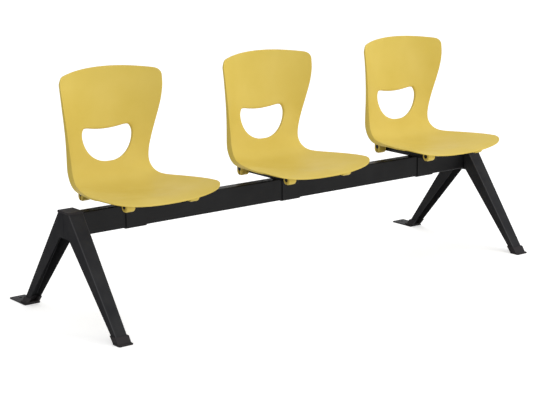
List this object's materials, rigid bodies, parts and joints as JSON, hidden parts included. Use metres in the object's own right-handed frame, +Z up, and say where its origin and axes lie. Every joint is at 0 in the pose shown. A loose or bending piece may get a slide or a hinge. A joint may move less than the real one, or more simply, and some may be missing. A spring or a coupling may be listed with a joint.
{
  "type": "beam seating",
  "caption": "Row of moulded seat shells with carry holes on steel seat frames, carried by one rectangular beam between two splayed channel leg frames.",
  "frame": {"origin": "on the floor at the middle of the footprint, between the toes of the front feet and the ends of the rear floor plates", "axes": "+X along the beam to the sitter's left, +Y from the front of the seats to their backs, +Z up"},
  "size_m": [1.892, 0.718, 0.826],
  "materials": {
    "yellow_shell": "fine moulded texture, low sheen",
    "beam_black": "satin powder coat",
    "leg_black": "satin powder coat",
    "frame_black": "satin powder coat",
    "grey_moulding": "moulded, low sheen",
    "black_moulding": "moulded",
    "zinc_fastener": "black zinc"
  },
  "bodies": {
    "root": {"arm_inner_left": "frame_black", "arm_inner_middle": "frame_black", "arm_inner_right": "frame_black", "arm_outer_left": "frame_black", "arm_outer_middle": "frame_black", "arm_outer_right": "frame_black", "beam": "beam_black", "beam_clamp_left": "frame_black", "beam_clamp_middle": "frame_black", "beam_clamp_right": "frame_black", "clamp_bolts_left": "zinc_fastener", "clamp_bolts_middle": "zinc_fastener", "clamp_bolts_right": "zinc_fastener", "cradle_bolts_left": "zinc_fastener", "cradle_bolts_right": "zinc_fastener", "crosshead_left": "frame_black", "crosshead_middle": "frame_black", "crosshead_right": "frame_black", "floor_plate_left": "leg_black", "floor_plate_right": "leg_black", "foot_front_left": "grey_moulding", "foot_front_right": "grey_moulding", "foot_rear_left": "grey_moulding", "foot_rear_right": "grey_moulding", "front_tube_left": "frame_black", "front_tube_middle": "frame_black", "front_tube_right": "frame_black", "leg_cradle_left": "frame_black", "leg_cradle_right": "frame_black", "leg_front_left": "leg_black", "leg_front_right": "leg_black", "leg_lid_left": "grey_moulding", "leg_lid_right": "grey_moulding", "leg_rear_left": "leg_black", "leg_rear_right": "leg_black", "rear_tube_left": "frame_black", "rear_tube_middle": "frame_black", "rear_tube_right": "frame_black", "seat_shell_left": "yellow_shell", "seat_shell_middle": "yellow_shell", "seat_shell_right": "yellow_shell", "tube_plugs_left": "black_moulding", "tube_plugs_middle": "black_moulding", "tube_plugs_right": "black_moulding"}
  },
  "joints": []
}
